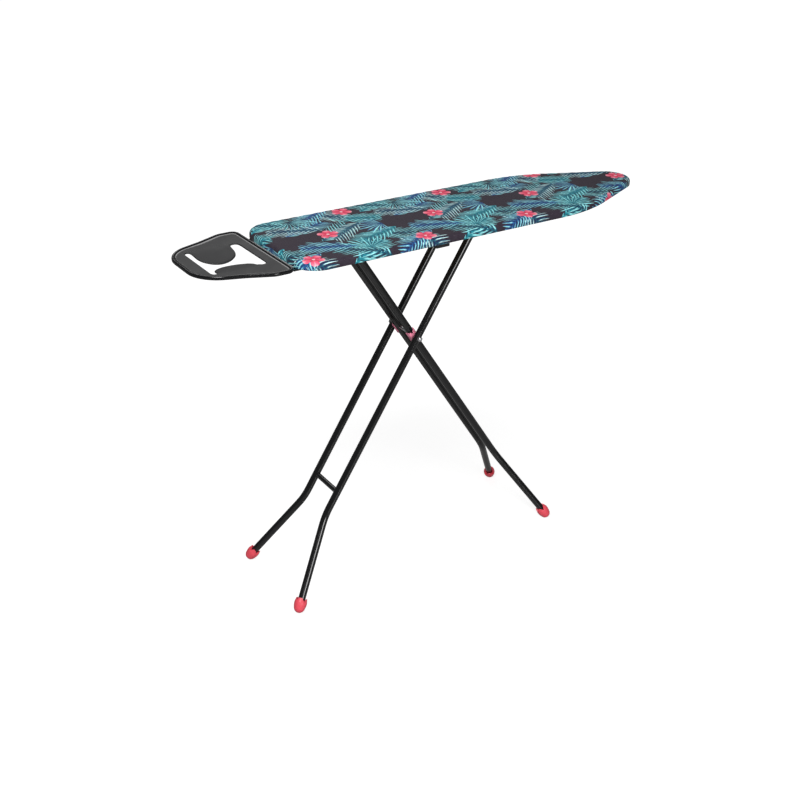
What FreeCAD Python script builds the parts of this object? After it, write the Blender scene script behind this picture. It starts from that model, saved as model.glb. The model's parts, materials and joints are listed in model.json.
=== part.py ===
"""Folding ironing board with an iron tray, standing at its highest setting.

Millimetres. +X runs along the board to its nose, +Z is up. The origin lies on the floor, midway
between the end of the tray and the nose. The near side is -Y.

Legs: two crossed frames of round tube. The inner frame hinges under the wide half of the board.
The outer frame turns on a rod through the inner frame, and its top bar slides in a slotted
channel towards the nose as the board folds.
"""
import FreeCAD, Part

import math
import os
import re

import Sketcher
from FreeCAD import Placement, Rotation, Vector

X, Y, Z = Vector(1, 0, 0), Vector(0, 1, 0), Vector(0, 0, 1)

doc = FreeCAD.newDocument("ironing_board")
sheet = doc.addObject("Spreadsheet::Sheet", "Dims")

DIMENSIONS = {
    # the board, seen from above
    "board_top": 934, "board_half": 162, "wide_end_x": -430, "corner_r": 62,
    "side_end_x": 297.5, "flank_r": 420, "taper": 25, "nose_r": 62,
    # its layers, from the bottom: deck panel, foam and cloth
    "cloth": 1, "foam": 6, "deck": 12, "hem_width": 30,
    # the crossed legs: where they cross, their slope, and lengths along the leg from there
    "pivot_x": -62.5, "pivot_z": 635, "leg_slope": 57.1, "hinge_reach": 312,
    "outer_foot_reach": 745.5, "inner_foot_reach": 737.6,
    "tube_r": 9.5, "tube_wall": 1, "tube_end_past_hinge": 12, "plug_cap": 1.5, "plug_depth": 6,
    "bend_r": 140,
    "outer_half": 55.5, "outer_bend_reach": 520, "outer_splay": 20.5, "outer_lean": -5,
    "inner_half": 32, "inner_bend_reach": 523, "inner_splay": 25.3, "inner_lean": -2.8,
    "crossbar_reach": 449, "crossbar_r": 7, "saddle_half": 40,
    # pivots
    "axle_r": 4, "run_gap": 0.05, "axle_half": 44, "top_bar_r": 6, "top_bar_half": 66.5,
    "collar_r": 9, "collar_width": 3, "collar_gap": 0.4, "washer_r": 8, "washer_gap": 0.2,
    "rod_half": 70, "nut_r": 7, "nut_height": 8, "nut_hexagon": 4.8, "nut_dome_r": 6,
    "nut_dome_centre": 3.6,
    "spacer_length": 28, "spacer_wall": 2.8, "spacer_gap": 0.3,
    # feet
    "foot_ball_r": 14.5, "foot_body_r": 16.5, "foot_rim_r": 13.8, "foot_rim_inner_r": 11.4,
    "foot_top": 24, "foot_body_top": 13, "foot_socket": 2, "foot_notch": 10,
    "foot_notch_half": 7, "foot_swell_up": 2, "foot_swell": 0.9, "foot_shoulder_up": 7,
    "foot_shoulder_in": 0.2, "foot_arc_step": 22, "cut_past": 1,
    # hinge bracket and rack channel, both bent from sheet
    "sheet_metal": 2, "channel_half": 18, "ear_bottom": 887, "ear_half_x": 12,
    "bracket_half_x": 34, "channel_x0": 85, "channel_x1": 415, "channel_bottom": 885,
    "slot_gap": 0.5, "slot_end_gap": 1, "fold_left": 2.1,
    # wood screws
    "screw_r": 2, "screw_head_r": 4, "screw_head": 2, "screw_depth": 10,
    "bracket_screw": 24, "rack_screw_first": 55, "rack_screw_middle": 110, "rack_screw_last": 12,
    "arm_screw_inset": 14, "tray_screw_inset": 12, "arm_screw_pitch": 40, "blind_skin": 1,
    "boss_rim": 3,
    # iron tray and its two arms
    "tray_top": 930, "tray_lip": 9, "tray_lip_wall": 6, "tray_floor": 4,
    "tray_end_x": -653.5, "tray_inner_x": -446, "tray_half": 154,
    "tray_end_half": 93, "tray_end_r": 84, "tray_flare_x": -556, "tray_flare_half": 127,
    "tray_flare_r": 200, "tray_shoulder_x": -496, "tray_shoulder_r": 40, "tray_corner_r": 20,
    "hole_x0": -612.5, "hole_x1": -478, "hole_half": 79.5, "hole_corner_r": 12,
    "tongue_x0": -597, "tongue_x1": -500, "tongue_tip_half": 9, "tongue_tilt": 12,
    "tongue_tip_r": 44, "tongue_root": 2, "tongue_root_r": 1,
    "arm_y": 113, "arm_width": 18, "arm_thick": 3, "arm_drop": 1, "arm_rise_x0": -458,
    "arm_rise_x1": -434, "arm_step_lean": 1, "arm_tray_end_x": -535, "arm_deck_end_x": -318,
    # height lever
    "lever_x": 45, "lever_y": 43.5, "lever_plate_z": 909, "lever_plate": 3,
    "lever_pin_r": 2.5, "lever_pin_head_r": 6, "lever_pin_head": 1.5, "lever_pin_gap": 0.2,
    "tooth_length": 6, "tooth_width": 10, "grip_shift": 1, "grip_round": 2, "lever_tip_x": 92,
    "lever_grip_x": -57,
    "lever_grip_y": 145, "lever_tooth_z": 903.7, "lever_width": 14, "grip_width": 38,
    "grip_length": 30, "grip_below": 6, "grip_above": 1.2, "spring_r": 5, "spring_wire_r": 0.5,
    "spring_lift": 0.7,
}
for row, (alias, number) in enumerate(DIMENSIONS.items(), start=1):
    sheet.set("A%d" % row, alias)
    sheet.set("B%d" % row, str(number))
    sheet.setAlias("B%d" % row, alias)
doc.recompute()


def dims(text):
    """An expression in which each alias is read from the sheet."""
    return re.sub(
        r"[a-z_]+[a-z_0-9]*",
        lambda word: "Dims." + word.group() if word.group() in DIMENSIONS else word.group(),
        str(text),
    )


def num(text):
    """The value of an expression, as a plain number."""
    return float(sheet.evalExpression(str(text)))


def bind(thing, **properties):
    """Ties properties to expressions of the sheet's aliases."""
    for name, text in properties.items():
        thing.setExpression(name.replace("__", "."), dims(text))
    return thing


def put(thing, x="0", y="0", z="0", axis=Z, angle="0"):
    """Places an object, turned about one axis by an angle in degrees."""
    thing.Placement = Placement(Vector(), Rotation(axis, num(angle) or 0.0))
    bind(thing, Placement__Base__x=x, Placement__Base__y=y, Placement__Base__z=z)
    return thing


# places that follow from the dimensions
DECK_BOTTOM = "(board_top - cloth - foam - deck)"
COVER_BOTTOM = "(board_top - 2 * cloth - foam - deck)"
HINGE_X = "(pivot_x - hinge_reach * cos(leg_slope))"
HINGE_Z = "(pivot_z + hinge_reach * sin(leg_slope))"
TOP_BAR_X = "(pivot_x + hinge_reach * cos(leg_slope))"
FOLDED_BAR_X = "(pivot_x - hinge_reach * cos(leg_slope) + 2 * hinge_reach * cos(fold_left))"
PLATE_BOTTOM = DECK_BOTTOM[:-1] + " - sheet_metal)"


# ---- building blocks ---------------------------------------------------------------------------


def cylinder(name, radius, length, axis=Z, **place):
    """A round bar along Z, or along +Y where axis is Y, from its place onwards."""
    thing = bind(doc.addObject("Part::Cylinder", name), Radius=radius, Height=length)
    if axis == Y:
        return put(thing, axis=X, angle="-90", **place)
    if axis == X:
        return put(thing, axis=Y, angle="90", **place)
    return put(thing, **place)


def box(name, x0, x1, y0, y1, z0, z1):
    thing = bind(
        doc.addObject("Part::Box", name),
        Length="(%s) - (%s)" % (x1, x0), Width="(%s) - (%s)" % (y1, y0),
        Height="(%s) - (%s)" % (z1, z0),
    )
    return put(thing, x0, y0, z0)


def fused(name, *pieces):
    thing = doc.addObject("Part::MultiFuse", name)
    thing.Shapes = list(pieces)
    return thing


def cut(name, base, *tools):
    thing = doc.addObject("Part::Cut", name)
    thing.Base = base
    thing.Tool = tools[0] if len(tools) == 1 else fused(name + "_tools", *tools)
    return thing


def group(name, *pieces):
    """Separate solids of one node."""
    thing = doc.addObject("Part::Compound", name)
    thing.Links = list(pieces)
    return thing


def body(name):
    return doc.addObject("PartDesign::Body", name)


def sketch(owner, name, plane, offset=None):
    """A sketch on one of the body's own origin planes, moved along the plane's normal."""
    thing = owner.newObject("Sketcher::SketchObject", name)
    planes = [f for f in owner.Origin.OriginFeatures if f.Role == plane]
    thing.AttachmentSupport = [(planes[0], "")]
    thing.MapMode = "FlatFace"
    if offset is not None:
        bind(thing, AttachmentOffset__Base__z=offset)
    return thing


def fix(thing, kind, geometry, point, text):
    """Holds one coordinate of a sketch point at an expression."""
    index = thing.addConstraint(Sketcher.Constraint(kind, geometry, point, num(text)))
    thing.setExpression("Constraints[%d]" % index, dims(text))


def circle(thing, x, y, radius):
    index = thing.addGeometry(Part.Circle(Vector(num(x), num(y), 0), Z, num(radius)))
    held = thing.addConstraint(Sketcher.Constraint("Radius", index, num(radius)))
    thing.setExpression("Constraints[%d]" % held, dims(radius))
    fix(thing, "DistanceX", index, 3, x)
    fix(thing, "DistanceY", index, 3, y)


def polygon(thing, corners):
    """Closed straight runs with every corner held at its expressions."""
    spots = [Vector(num(x), num(y), 0) for x, y in corners]
    for index, spot in enumerate(spots):
        thing.addGeometry(Part.LineSegment(spot, spots[(index + 1) % len(spots)]))
    for index, (x, y) in enumerate(corners):
        following = (index + 1) % len(spots)
        thing.addConstraint(Sketcher.Constraint("Coincident", index, 2, following, 1))
        fix(thing, "DistanceX", index, 1, x)
        fix(thing, "DistanceY", index, 1, y)


def board_outline(thing, inset):
    """The board's outline from above, drawn in by inset all round.

    Square wide end with round corners, straight sides, a large arc on each flank, a straight
    taper and a round nose. Arcs are held by centre, radius and one coordinate of each end.
    """
    nose_x = (
        "(side_end_x + ((board_half - flank_r) * cos(taper) + flank_r - nose_r) / sin(taper))"
    )
    corner_x = "(wide_end_x + corner_r)"
    corner_y = "(board_half - corner_r)"
    flank_y = "(board_half - flank_r)"
    sweep = num("taper")
    arcs = [  # centre, radius, start and end angle, coordinate that holds each end
        (corner_x, corner_y, "corner_r", 90, 180, "X", "Y"),
        (corner_x, "-" + corner_y, "corner_r", 180, 270, "Y", "X"),
        ("side_end_x", "-" + flank_y, "flank_r", 270, 270 + sweep, "X", "X"),
        (nose_x, "0", "nose_r", sweep - 90, 90 - sweep, "X", "X"),
        ("side_end_x", flank_y, "flank_r", 90 - sweep, 90, "X", "X"),
    ]
    for index, (x, y, radius, start, end, first, last) in enumerate(arcs):
        inner = "(%s - (%s))" % (radius, inset)
        centre = Vector(num(x), num(y), 0)
        round_it = Part.Circle(centre, Z, num(inner))
        thing.addGeometry(Part.ArcOfCircle(round_it, math.radians(start), math.radians(end)))
        held = thing.addConstraint(Sketcher.Constraint("Radius", index, num(inner)))
        thing.setExpression("Constraints[%d]" % held, dims(inner))
        fix(thing, "DistanceX", index, 3, x)
        fix(thing, "DistanceY", index, 3, y)
        for point, angle, along in ((1, start, first), (2, end, last)):
            turn = "cos(%g)" % angle if along == "X" else "sin(%g)" % angle
            if angle % 90:
                turn = "%ssin(taper)" % ("-" if math.cos(math.radians(angle)) < 0 else "")
            text = "%s + %s * %s" % (x if along == "X" else y, inner, turn)
            fix(thing, "Distance" + along, index, point, text)
    for first, first_end, second, second_end in (
        (0, 2, 1, 1), (1, 2, 2, 1), (2, 2, 3, 1), (3, 2, 4, 1), (4, 2, 0, 1)
    ):
        ends = thing.getPoint(first, first_end), thing.getPoint(second, second_end)
        line = thing.addGeometry(Part.LineSegment(*ends))
        thing.addConstraint(Sketcher.Constraint("Coincident", line, 1, first, first_end))
        thing.addConstraint(Sketcher.Constraint("Coincident", line, 2, second, second_end))


def pad(owner, name, profile, length, both_ways=False):
    thing = owner.newObject("PartDesign::Pad", name)
    thing.Profile = profile
    thing.Midplane = both_ways
    return bind(thing, Length=length)


def pocket(owner, name, profile, depth, both_ways=False):
    """Cuts along the sketch's own normal, or both ways from it."""
    thing = owner.newObject("PartDesign::Pocket", name)
    thing.Profile = profile
    thing.Midplane = both_ways
    thing.Reversed = not both_ways
    return bind(thing, Length=depth)


# ---- screws ------------------------------------------------------------------------------------

HINGE_SCREWS = [(HINGE_X + " - bracket_screw", "0"), (HINGE_X + " + bracket_screw", "0")]
RACK_SCREWS = [
    ("channel_x0 + rack_screw_first", "0"), ("channel_x1 - rack_screw_middle", "0"),
    ("channel_x1 - rack_screw_last", "0"),
]
ARM_SCREWS = [
    ("arm_deck_end_x - arm_screw_inset - %d * arm_screw_pitch" % index, side + "arm_y")
    for side in ("-", "") for index in (0, 1)
]
TRAY_SCREWS = [
    ("arm_tray_end_x + tray_screw_inset + %d * arm_screw_pitch" % index, side + "arm_y")
    for side in ("-", "") for index in (0, 1)
]
LEVER_PIN = [("lever_x", "-lever_y")]


def screws(name, places, seat, depth="screw_depth"):
    """Round-headed screws driven upwards, their heads under the height seat."""
    pieces = []
    for index, (x, y) in enumerate(places):
        label = "%s_%d" % (name, index)
        head = cylinder(
            label + "_head", "screw_head_r", "screw_head", x=x, y=y, z="%s - screw_head" % seat
        )
        shank = cylinder(label + "_shank", "screw_r", depth, x=x, y=y, z=seat)
        pieces.append(fused(label, head, shank))
    return group(name, *pieces)


# ---- the board ---------------------------------------------------------------------------------


def layer(name, inset, bottom, thickness):
    owner = body(name)
    outline = sketch(owner, name + "_outline", "XY_Plane", bottom)
    board_outline(outline, inset)
    pad(owner, name + "_pad", outline, thickness)
    return owner


def deck_panel():
    """Panel with a blind hole for every screw."""
    owner = layer("deck_panel", "cloth", DECK_BOTTOM, "deck")
    holes = sketch(owner, "deck_holes", "XY_Plane", DECK_BOTTOM)
    for x, y in HINGE_SCREWS + RACK_SCREWS + ARM_SCREWS:
        circle(holes, x, y, "screw_r")
    for x, y in LEVER_PIN:
        circle(holes, x, y, "lever_pin_r")
    pocket(owner, "deck_holes_cut", holes, "screw_depth")
    return owner


def cover():
    """Cloth over the top and edge, turned in under the deck as a hem."""
    owner = layer("cover", "0", COVER_BOTTOM, "board_top - %s" % COVER_BOTTOM)
    inside = sketch(owner, "cover_inside", "XY_Plane", DECK_BOTTOM)
    board_outline(inside, "cloth")
    pocket(owner, "cover_inside_cut", inside, "foam + deck")
    mouth = sketch(owner, "cover_mouth", "XY_Plane", COVER_BOTTOM)
    board_outline(mouth, "hem_width")
    pocket(owner, "cover_mouth_cut", mouth, "cloth")
    return owner


def channel_section(name, x0, x1, web_bottom):
    """A sheet channel under the deck: top plate and two webs."""
    plate = box(
        name + "_plate", x0, x1, "-channel_half", "channel_half", PLATE_BOTTOM, DECK_BOTTOM
    )
    webs = [
        box(name + "_web_near", x0, x1, "-channel_half", "sheet_metal - channel_half",
            web_bottom, PLATE_BOTTOM),
        box(name + "_web_far", x0, x1, "channel_half - sheet_metal", "channel_half",
            web_bottom, PLATE_BOTTOM),
    ]
    return [plate] + webs


def screw_holes(name, places):
    return [
        cylinder("%s_hole_%d" % (name, index), "screw_r", "sheet_metal", x=x, y=y, z=PLATE_BOTTOM)
        for index, (x, y) in enumerate(places)
    ]


def hinge_bracket():
    plate = box(
        "bracket_plate", HINGE_X + " - bracket_half_x", HINGE_X + " + bracket_half_x",
        "-channel_half", "channel_half", PLATE_BOTTOM, DECK_BOTTOM,
    )
    ears = channel_section(
        "bracket_ears", HINGE_X + " - ear_half_x", HINGE_X + " + ear_half_x", "ear_bottom"
    )
    bore = cylinder(
        "bracket_bore", "axle_r + run_gap", "2 * channel_half", Y,
        x=HINGE_X, y="-channel_half", z=HINGE_Z,
    )
    solid = fused("bracket_solid", plate, *ears)
    return cut("hinge_bracket", solid, bore, *screw_holes("bracket", HINGE_SCREWS))


def rack_channel():
    """Channel with a long slot through both webs for the sliding top bar."""
    solid = fused(
        "rack_solid", *channel_section("rack", "channel_x0", "channel_x1", "channel_bottom")
    )
    slot_r = "(top_bar_r + slot_gap)"
    slot_x0, slot_x1 = TOP_BAR_X + " - slot_end_gap", FOLDED_BAR_X + " + slot_end_gap"
    ends = [
        cylinder("rack_slot_" + which, slot_r, "2 * channel_half", Y,
                 x=x, y="-channel_half", z=HINGE_Z)
        for which, x in (("end_0", slot_x0), ("end_1", slot_x1))
    ]
    middle = box(
        "rack_slot", slot_x0, slot_x1, "-channel_half", "channel_half",
        "%s - %s" % (HINGE_Z, slot_r), "%s + %s" % (HINGE_Z, slot_r),
    )
    return cut("rack_channel", solid, middle, *ends, *screw_holes("rack", RACK_SCREWS))


# ---- the iron tray -----------------------------------------------------------------------------


def rounded(corners, z):
    """A closed wire of straight runs and tangent arcs. Each corner is x, y and radius."""
    edges, ends = [], []
    count = len(corners)
    for index, (x, y, radius) in enumerate(corners):
        here = Vector(x, y, z)
        back = (Vector(corners[index - 1][0], corners[index - 1][1], z) - here).normalize()
        ahead_corner = corners[(index + 1) % count]
        ahead = (Vector(ahead_corner[0], ahead_corner[1], z) - here).normalize()
        half = back.getAngle(ahead) / 2
        start = here + back * (radius / math.tan(half))
        end = here + ahead * (radius / math.tan(half))
        middle = here + (back + ahead).normalize() * (radius / math.sin(half) - radius)
        edges.append(Part.Arc(start, middle, end).toShape())
        ends.append((start, end))
    runs = [
        Part.LineSegment(ends[index][1], ends[(index + 1) % count][0]).toShape()
        for index in range(count)
    ]
    return Part.Wire(Part.__sortEdges__(edges + runs))


def both_sides(half_outline):
    """A half outline on +Y, completed with its mirror image."""
    return half_outline + [(x, -y, radius) for x, y, radius in reversed(half_outline)]


def prism(corners, z0, z1):
    return Part.Face(rounded(corners, z0)).extrude(Vector(0, 0, z1 - z0))


def tray_outline(inset):
    """The tray seen from above: a bowed end that flares out to square shoulders."""
    return both_sides([
        (num("tray_end_x") + inset, num("tray_end_half") - inset, num("tray_end_r") - inset),
        (num("tray_flare_x"), num("tray_flare_half") - inset, num("tray_flare_r")),
        (num("tray_shoulder_x"), num("tray_half") - inset, num("tray_shoulder_r") - inset),
        (num("tray_inner_x") - inset, num("tray_half") - inset, num("tray_corner_r") - inset),
    ])


def iron_tray():
    """One moulding: a raised lip round a flat rim, with two tongues sloping into the opening."""
    top, bottom = num("tray_top"), num("tray_top - tray_lip")
    floor_top = bottom + num("tray_floor")
    solid = prism(tray_outline(0), bottom, top)
    past = num("cut_past")
    solid = solid.cut(prism(tray_outline(num("tray_lip_wall")), floor_top, top + past))
    x0, x1, side = num("hole_x0"), num("hole_x1"), num("hole_half")
    corner = num("hole_corner_r")
    hole = [(x0, side, corner), (x1, side, corner), (x1, -side, corner), (x0, -side, corner)]
    solid = solid.cut(prism(hole, bottom - past, floor_top + past))
    t0, t1, tip_r = num("tongue_x0"), num("tongue_x1"), num("tongue_tip_r")
    reach = (side - num("tongue_tip_half")) / math.cos(math.radians(num("tongue_tilt")))
    root, root_r = num("tongue_root"), num("tongue_root_r")
    tongue = prism(
        [(t0, root, root_r), (t1, root, root_r), (t1, -reach, tip_r), (t0, -reach, tip_r)],
        -num("tray_floor"), 0,
    )
    tongue.rotate(Vector(), X, num("tongue_tilt"))
    tongue.translate(Vector(0, side, floor_top))
    solid = solid.fuse(tongue).fuse(tongue.mirror(Vector(), Y))
    for x, y in TRAY_SCREWS:
        blind = num("tray_floor - blind_skin")
        solid = solid.cut(Part.makeCylinder(num("screw_r"), blind, Vector(num(x), num(y), bottom)))
    thing = doc.addObject("Part::Feature", "iron_tray")
    thing.Shape = solid.removeSplitter()
    return thing


def tray_arm(name, side):
    """A flat strip, screwed under the deck and stepped up to the tray's underside."""
    owner = body(name)
    low = "(%s - arm_drop)" % DECK_BOTTOM
    high = "(tray_top - tray_lip)"
    profile = sketch(owner, name + "_profile", "XZ_Plane", "0")
    polygon(profile, [
        ("arm_deck_end_x", low), ("arm_rise_x1", low), ("arm_rise_x0", high),
        ("arm_tray_end_x", high), ("arm_tray_end_x", high + " - arm_thick"),
        ("arm_rise_x0 - arm_step_lean", high + " - arm_thick"),
        ("arm_rise_x1 - arm_step_lean", low + " - arm_thick"),
        ("arm_deck_end_x", low + " - arm_thick"),
    ])
    pad(owner, name + "_strip", profile, "arm_width", both_ways=True)
    put(owner, y=side + "arm_y")
    bosses, holes = [], []
    here = side + "arm_y"
    for index, (x, y) in enumerate(p for p in ARM_SCREWS if p[1] == here):
        bosses.append(cylinder("%s_boss_%d" % (name, index), "screw_head_r + boss_rim", "arm_drop",
                               x=x, y=y, z=low))
        holes.append(cylinder("%s_hole_%d" % (name, index), "screw_r", "arm_thick + arm_drop",
                              x=x, y=y, z=low + " - arm_thick"))
    for index, (x, y) in enumerate(p for p in TRAY_SCREWS if p[1] == here):
        holes.append(cylinder("%s_tray_hole_%d" % (name, index), "screw_r", "arm_thick",
                              x=x, y=y, z=high + " - arm_thick"))
    return cut(name + "_drilled", fused(name + "_solid", owner, *bosses), *holes)


# ---- the legs ----------------------------------------------------------------------------------


class Leg:
    """One leg frame. Along its own axes, X runs down the leg from the crossing and Y across."""

    def __init__(self, name, turn, pin_r, cross_r):
        self.name, self.turn = name, turn
        self.pin_r, self.cross_r = pin_r, cross_r
        self.half, self.bend_reach = name + "_half", name + "_bend_reach"
        self.splay, self.lean = name + "_splay", name + "_lean"
        self.foot_reach = name + "_foot_reach"

    def placed(self, thing):
        """Turns an object made along the leg's own axes into place."""
        local = thing.Placement
        thing.Placement = Placement(
            Vector(num("pivot_x"), 0, num("pivot_z")), Rotation(Y, num(self.turn))
        ).multiply(local)
        bind(thing, Placement__Base__x="pivot_x", Placement__Base__z="pivot_z")
        return thing

    def foot_out(self):
        """How far the foot stands outside the tube's straight stretch."""
        return "((%s - %s) * tan(%s))" % (self.foot_reach, self.bend_reach, self.splay)

    def signed_lean(self, side):
        return num(self.lean) * (-1 if side == "-" else 1)

    def tube(self, name, side):
        """Hollow tube: straight, one bend outwards, straight to the foot.

        The bend lies in a plane that leans about the straight stretch.
        """
        owner = body(name)
        path = sketch(owner, name + "_path", "XY_Plane")
        path.AttachmentOffset = Placement(Vector(), Rotation(X, self.signed_lean(side)))
        bind(path, AttachmentOffset__Base__y=side + self.half)
        start = "-(hinge_reach + tube_end_past_hinge)"
        tangent = "(bend_r * tan(%s / 2))" % self.splay
        points = [
            (start, "0"),
            ("%s - %s" % (self.bend_reach, tangent), "0"),
            ("%s + %s * cos(%s)" % (self.bend_reach, tangent, self.splay),
             "%s(%s * sin(%s))" % (side, tangent, self.splay)),
            ("%s - foot_socket * cos(%s)" % (self.foot_reach, self.splay),
             "%s(%s - foot_socket * sin(%s))" % (side, self.foot_out(), self.splay)),
        ]
        spots = [Vector(num(x), num(y), 0) for x, y in points]
        sign = -1 if side == "-" else 1
        centre = spots[1] + Y * (sign * num("bend_r"))
        angle = math.radians(num(self.splay))
        arc_ends = (-math.pi / 2, angle - math.pi / 2)
        if sign < 0:
            arc_ends = (math.pi / 2 - angle, math.pi / 2)
        path.addGeometry(Part.LineSegment(spots[0], spots[1]))
        path.addGeometry(Part.ArcOfCircle(Part.Circle(centre, Z, num("bend_r")), *arc_ends))
        path.addGeometry(Part.LineSegment(spots[2], spots[3]))
        arc_start, arc_end = (1, 2) if sign > 0 else (2, 1)
        path.addConstraint(Sketcher.Constraint("Coincident", 0, 2, 1, arc_start))
        path.addConstraint(Sketcher.Constraint("Coincident", 1, arc_end, 2, 1))
        for line, end, (x, y) in ((0, 1, points[0]), (0, 2, points[1]), (2, 1, points[2]),
                                  (2, 2, points[3])):
            fix(path, "DistanceX", line, end, x)
            fix(path, "DistanceY", line, end, y)
        held = path.addConstraint(Sketcher.Constraint("Radius", 1, num("bend_r")))
        path.setExpression("Constraints[%d]" % held, dims("bend_r"))
        ring = sketch(owner, name + "_ring", "YZ_Plane", start)
        circle(ring, side + self.half, "0", "tube_r")
        circle(ring, side + self.half, "0", "tube_r - tube_wall")
        pipe = owner.newObject("PartDesign::AdditivePipe", name + "_pipe")
        pipe.Profile = ring
        pipe.Spine = (path, ["Edge1", "Edge2", "Edge3"])
        holes = sketch(owner, name + "_holes", "XZ_Plane")
        circle(holes, "0", "0", self.cross_r)
        circle(holes, "-hinge_reach", "0", self.pin_r)
        pocket(owner, name + "_holes_cut", holes, "4 * (%s + tube_r)" % self.half, both_ways=True)
        return self.placed(owner)

    def foot(self, name, side):
        """Moulded cap: rounded base, flared collar with four V notches, flat where it stands."""
        owner = body(name + "_cap")
        profile = sketch(owner, name + "_profile", "XY_Plane")
        base = [
            ("foot_ball_r * cos(%d * foot_arc_step)" % step,
             "foot_ball_r * sin(%d * foot_arc_step)" % step)
            for step in range(4)
        ]
        polygon(profile, base + [
            ("-foot_swell_up", "foot_ball_r + foot_swell"),
            ("-foot_shoulder_up", "foot_body_r - foot_shoulder_in"),
            ("-foot_body_top", "foot_body_r"),
            ("-foot_top", "foot_rim_r"), ("-foot_top", "foot_rim_inner_r"),
            ("-foot_body_top", "tube_r"), ("-foot_socket", "tube_r"), ("-foot_socket", "0"),
        ])
        turned = owner.newObject("PartDesign::Revolution", name + "_turned")
        turned.Profile = profile
        turned.ReferenceAxis = (profile, ["H_Axis"])
        turned.Angle = 360
        for plane in ("XY_Plane", "XZ_Plane"):
            notch = sketch(owner, name + "_notch_" + plane[:2], plane)
            polygon(notch, [
                ("-foot_top + foot_notch", "0"), ("-foot_top - cut_past", "foot_notch_half"),
                ("-foot_top - cut_past", "-foot_notch_half"),
            ])
            pocket(owner, name + "_notch_cut_" + plane[:2], notch, "3 * foot_rim_r", True)
        sign = -1 if side == "-" else 1
        in_bend_plane = Placement(
            Vector(num(self.foot_reach), sign * num(self.foot_out()), 0),
            Rotation(Z, sign * num(self.splay)),
        )
        leaned = Placement(Vector(0, sign * num(self.half), 0), Rotation(X, self.signed_lean(side)))
        owner.Placement = Placement(
            Vector(num("pivot_x"), 0, num("pivot_z")), Rotation(Y, num(self.turn))
        ).multiply(leaned).multiply(in_bend_plane)
        below = box(name + "_floor", "tray_end_x", "-tray_end_x", "-2 * board_half",
                    "2 * board_half", "-foot_top", "0")
        return cut(name, owner, below)

    def plugs(self):
        """Plastic plugs in the two top ends."""
        pieces = []
        for side, word in (("-", "near"), ("", "far")):
            end = "-(hinge_reach + tube_end_past_hinge)"
            cap = cylinder("%s_plug_cap_%s" % (self.name, word), "tube_r", "plug_cap", X,
                           x=end + " - plug_cap", y=side + self.half)
            stem = cylinder("%s_plug_stem_%s" % (self.name, word), "tube_r - tube_wall",
                            "plug_depth", X, x=end, y=side + self.half)
            pieces.append(fused("%s_plug_%s" % (self.name, word), cap, stem))
        thing = group(self.name + "_tube_plugs", *pieces)
        thing.Placement = Placement(
            Vector(num("pivot_x"), 0, num("pivot_z")), Rotation(Y, num(self.turn))
        )
        return thing


INNER = Leg("inner", "leg_slope", "axle_r", "axle_r + run_gap")
OUTER = Leg("outer", "180 - leg_slope", "top_bar_r", "axle_r")


def leg_pieces(leg):
    pieces = {leg.name + "_tube_plugs": leg.plugs()}
    for side, word in (("-", "near"), ("", "far")):
        pieces["%s_tube_%s" % (leg.name, word)] = leg.tube("%s_tube_%s" % (leg.name, word), side)
        pieces["%s_foot_%s" % (leg.name, word)] = leg.foot("%s_foot_%s" % (leg.name, word), side)
    return pieces


def ring_pair(name, outer_r, inner_r, y_inner, width, x, z):
    """Two rings on a cross rod, one each side."""
    pieces = []
    for word, start in (("near", "-(%s) - (%s)" % (y_inner, width)), ("far", y_inner)):
        full = cylinder("%s_%s_full" % (name, word), outer_r, width, Y, x=x, y=start, z=z)
        hole = cylinder("%s_%s_hole" % (name, word), inner_r, width, Y, x=x, y=start, z=z)
        pieces.append(cut("%s_%s" % (name, word), full, hole))
    return group(name, *pieces)


def cross_rod(name, radius, half_length, x, z):
    return cylinder(name, radius, "2 * %s" % half_length, Y, x=x, y="-" + half_length, z=z)


def crossbar():
    """Round bar between the outer tubes, its ends shaped to them."""
    x = "pivot_x - crossbar_reach * cos(leg_slope)"
    z = "pivot_z - crossbar_reach * sin(leg_slope)"
    bar = cross_rod("crossbar_blank", "crossbar_r", "outer_half", x, z)
    tubes = []
    for word, side in (("near", "-"), ("far", "")):
        tube = bind(doc.addObject("Part::Cylinder", "crossbar_saddle_" + word),
                    Radius="tube_r", Height="2 * saddle_half")
        put(tube, x, side + "outer_half", z, Y, "90 - leg_slope")
        tubes.append(tube)
        bind(tube, Placement__Base__x=x + " - saddle_half * cos(leg_slope)",
             Placement__Base__z=z + " - saddle_half * sin(leg_slope)")
    return cut("outer_crossbar", bar, *tubes)


def pivot_spacer(name, side):
    """Saddle on the outer half of an inner tube, with a round face towards the outer tube."""
    sign = -1 if side == "-" else 1
    length, wall = num("spacer_length"), num("spacer_wall")
    centre, tube_r = num("inner_half"), num("tube_r")
    face = num("outer_half - tube_r - spacer_gap")
    along = Vector(-length / 2, 0, 0)
    shell = Part.makeCylinder(tube_r + wall, length, along + Y * centre, X)
    keep = Part.makeBox(length, tube_r + wall, 4 * tube_r)
    keep.translate(Vector(-length / 2, centre - tube_r / 3, -2 * tube_r))
    boss = Part.makeCylinder(tube_r, face - centre, Vector(0, centre, 0), Y)
    solid = shell.common(keep).fuse(boss)
    solid = solid.cut(Part.makeCylinder(tube_r, 2 * length, along * 2 + Y * centre, X))
    bore_r = num("axle_r + run_gap")
    solid = solid.cut(Part.makeCylinder(bore_r, 2 * face, Vector(0, 0, 0), Y))
    if sign < 0:
        solid = solid.mirror(Vector(), Y)
    thing = doc.addObject("Part::Feature", name)
    thing.Shape = solid.removeSplitter()
    thing.Placement = Placement(
        Vector(num("pivot_x"), 0, num("pivot_z")), Rotation(Y, num("leg_slope"))
    )
    return thing


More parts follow.
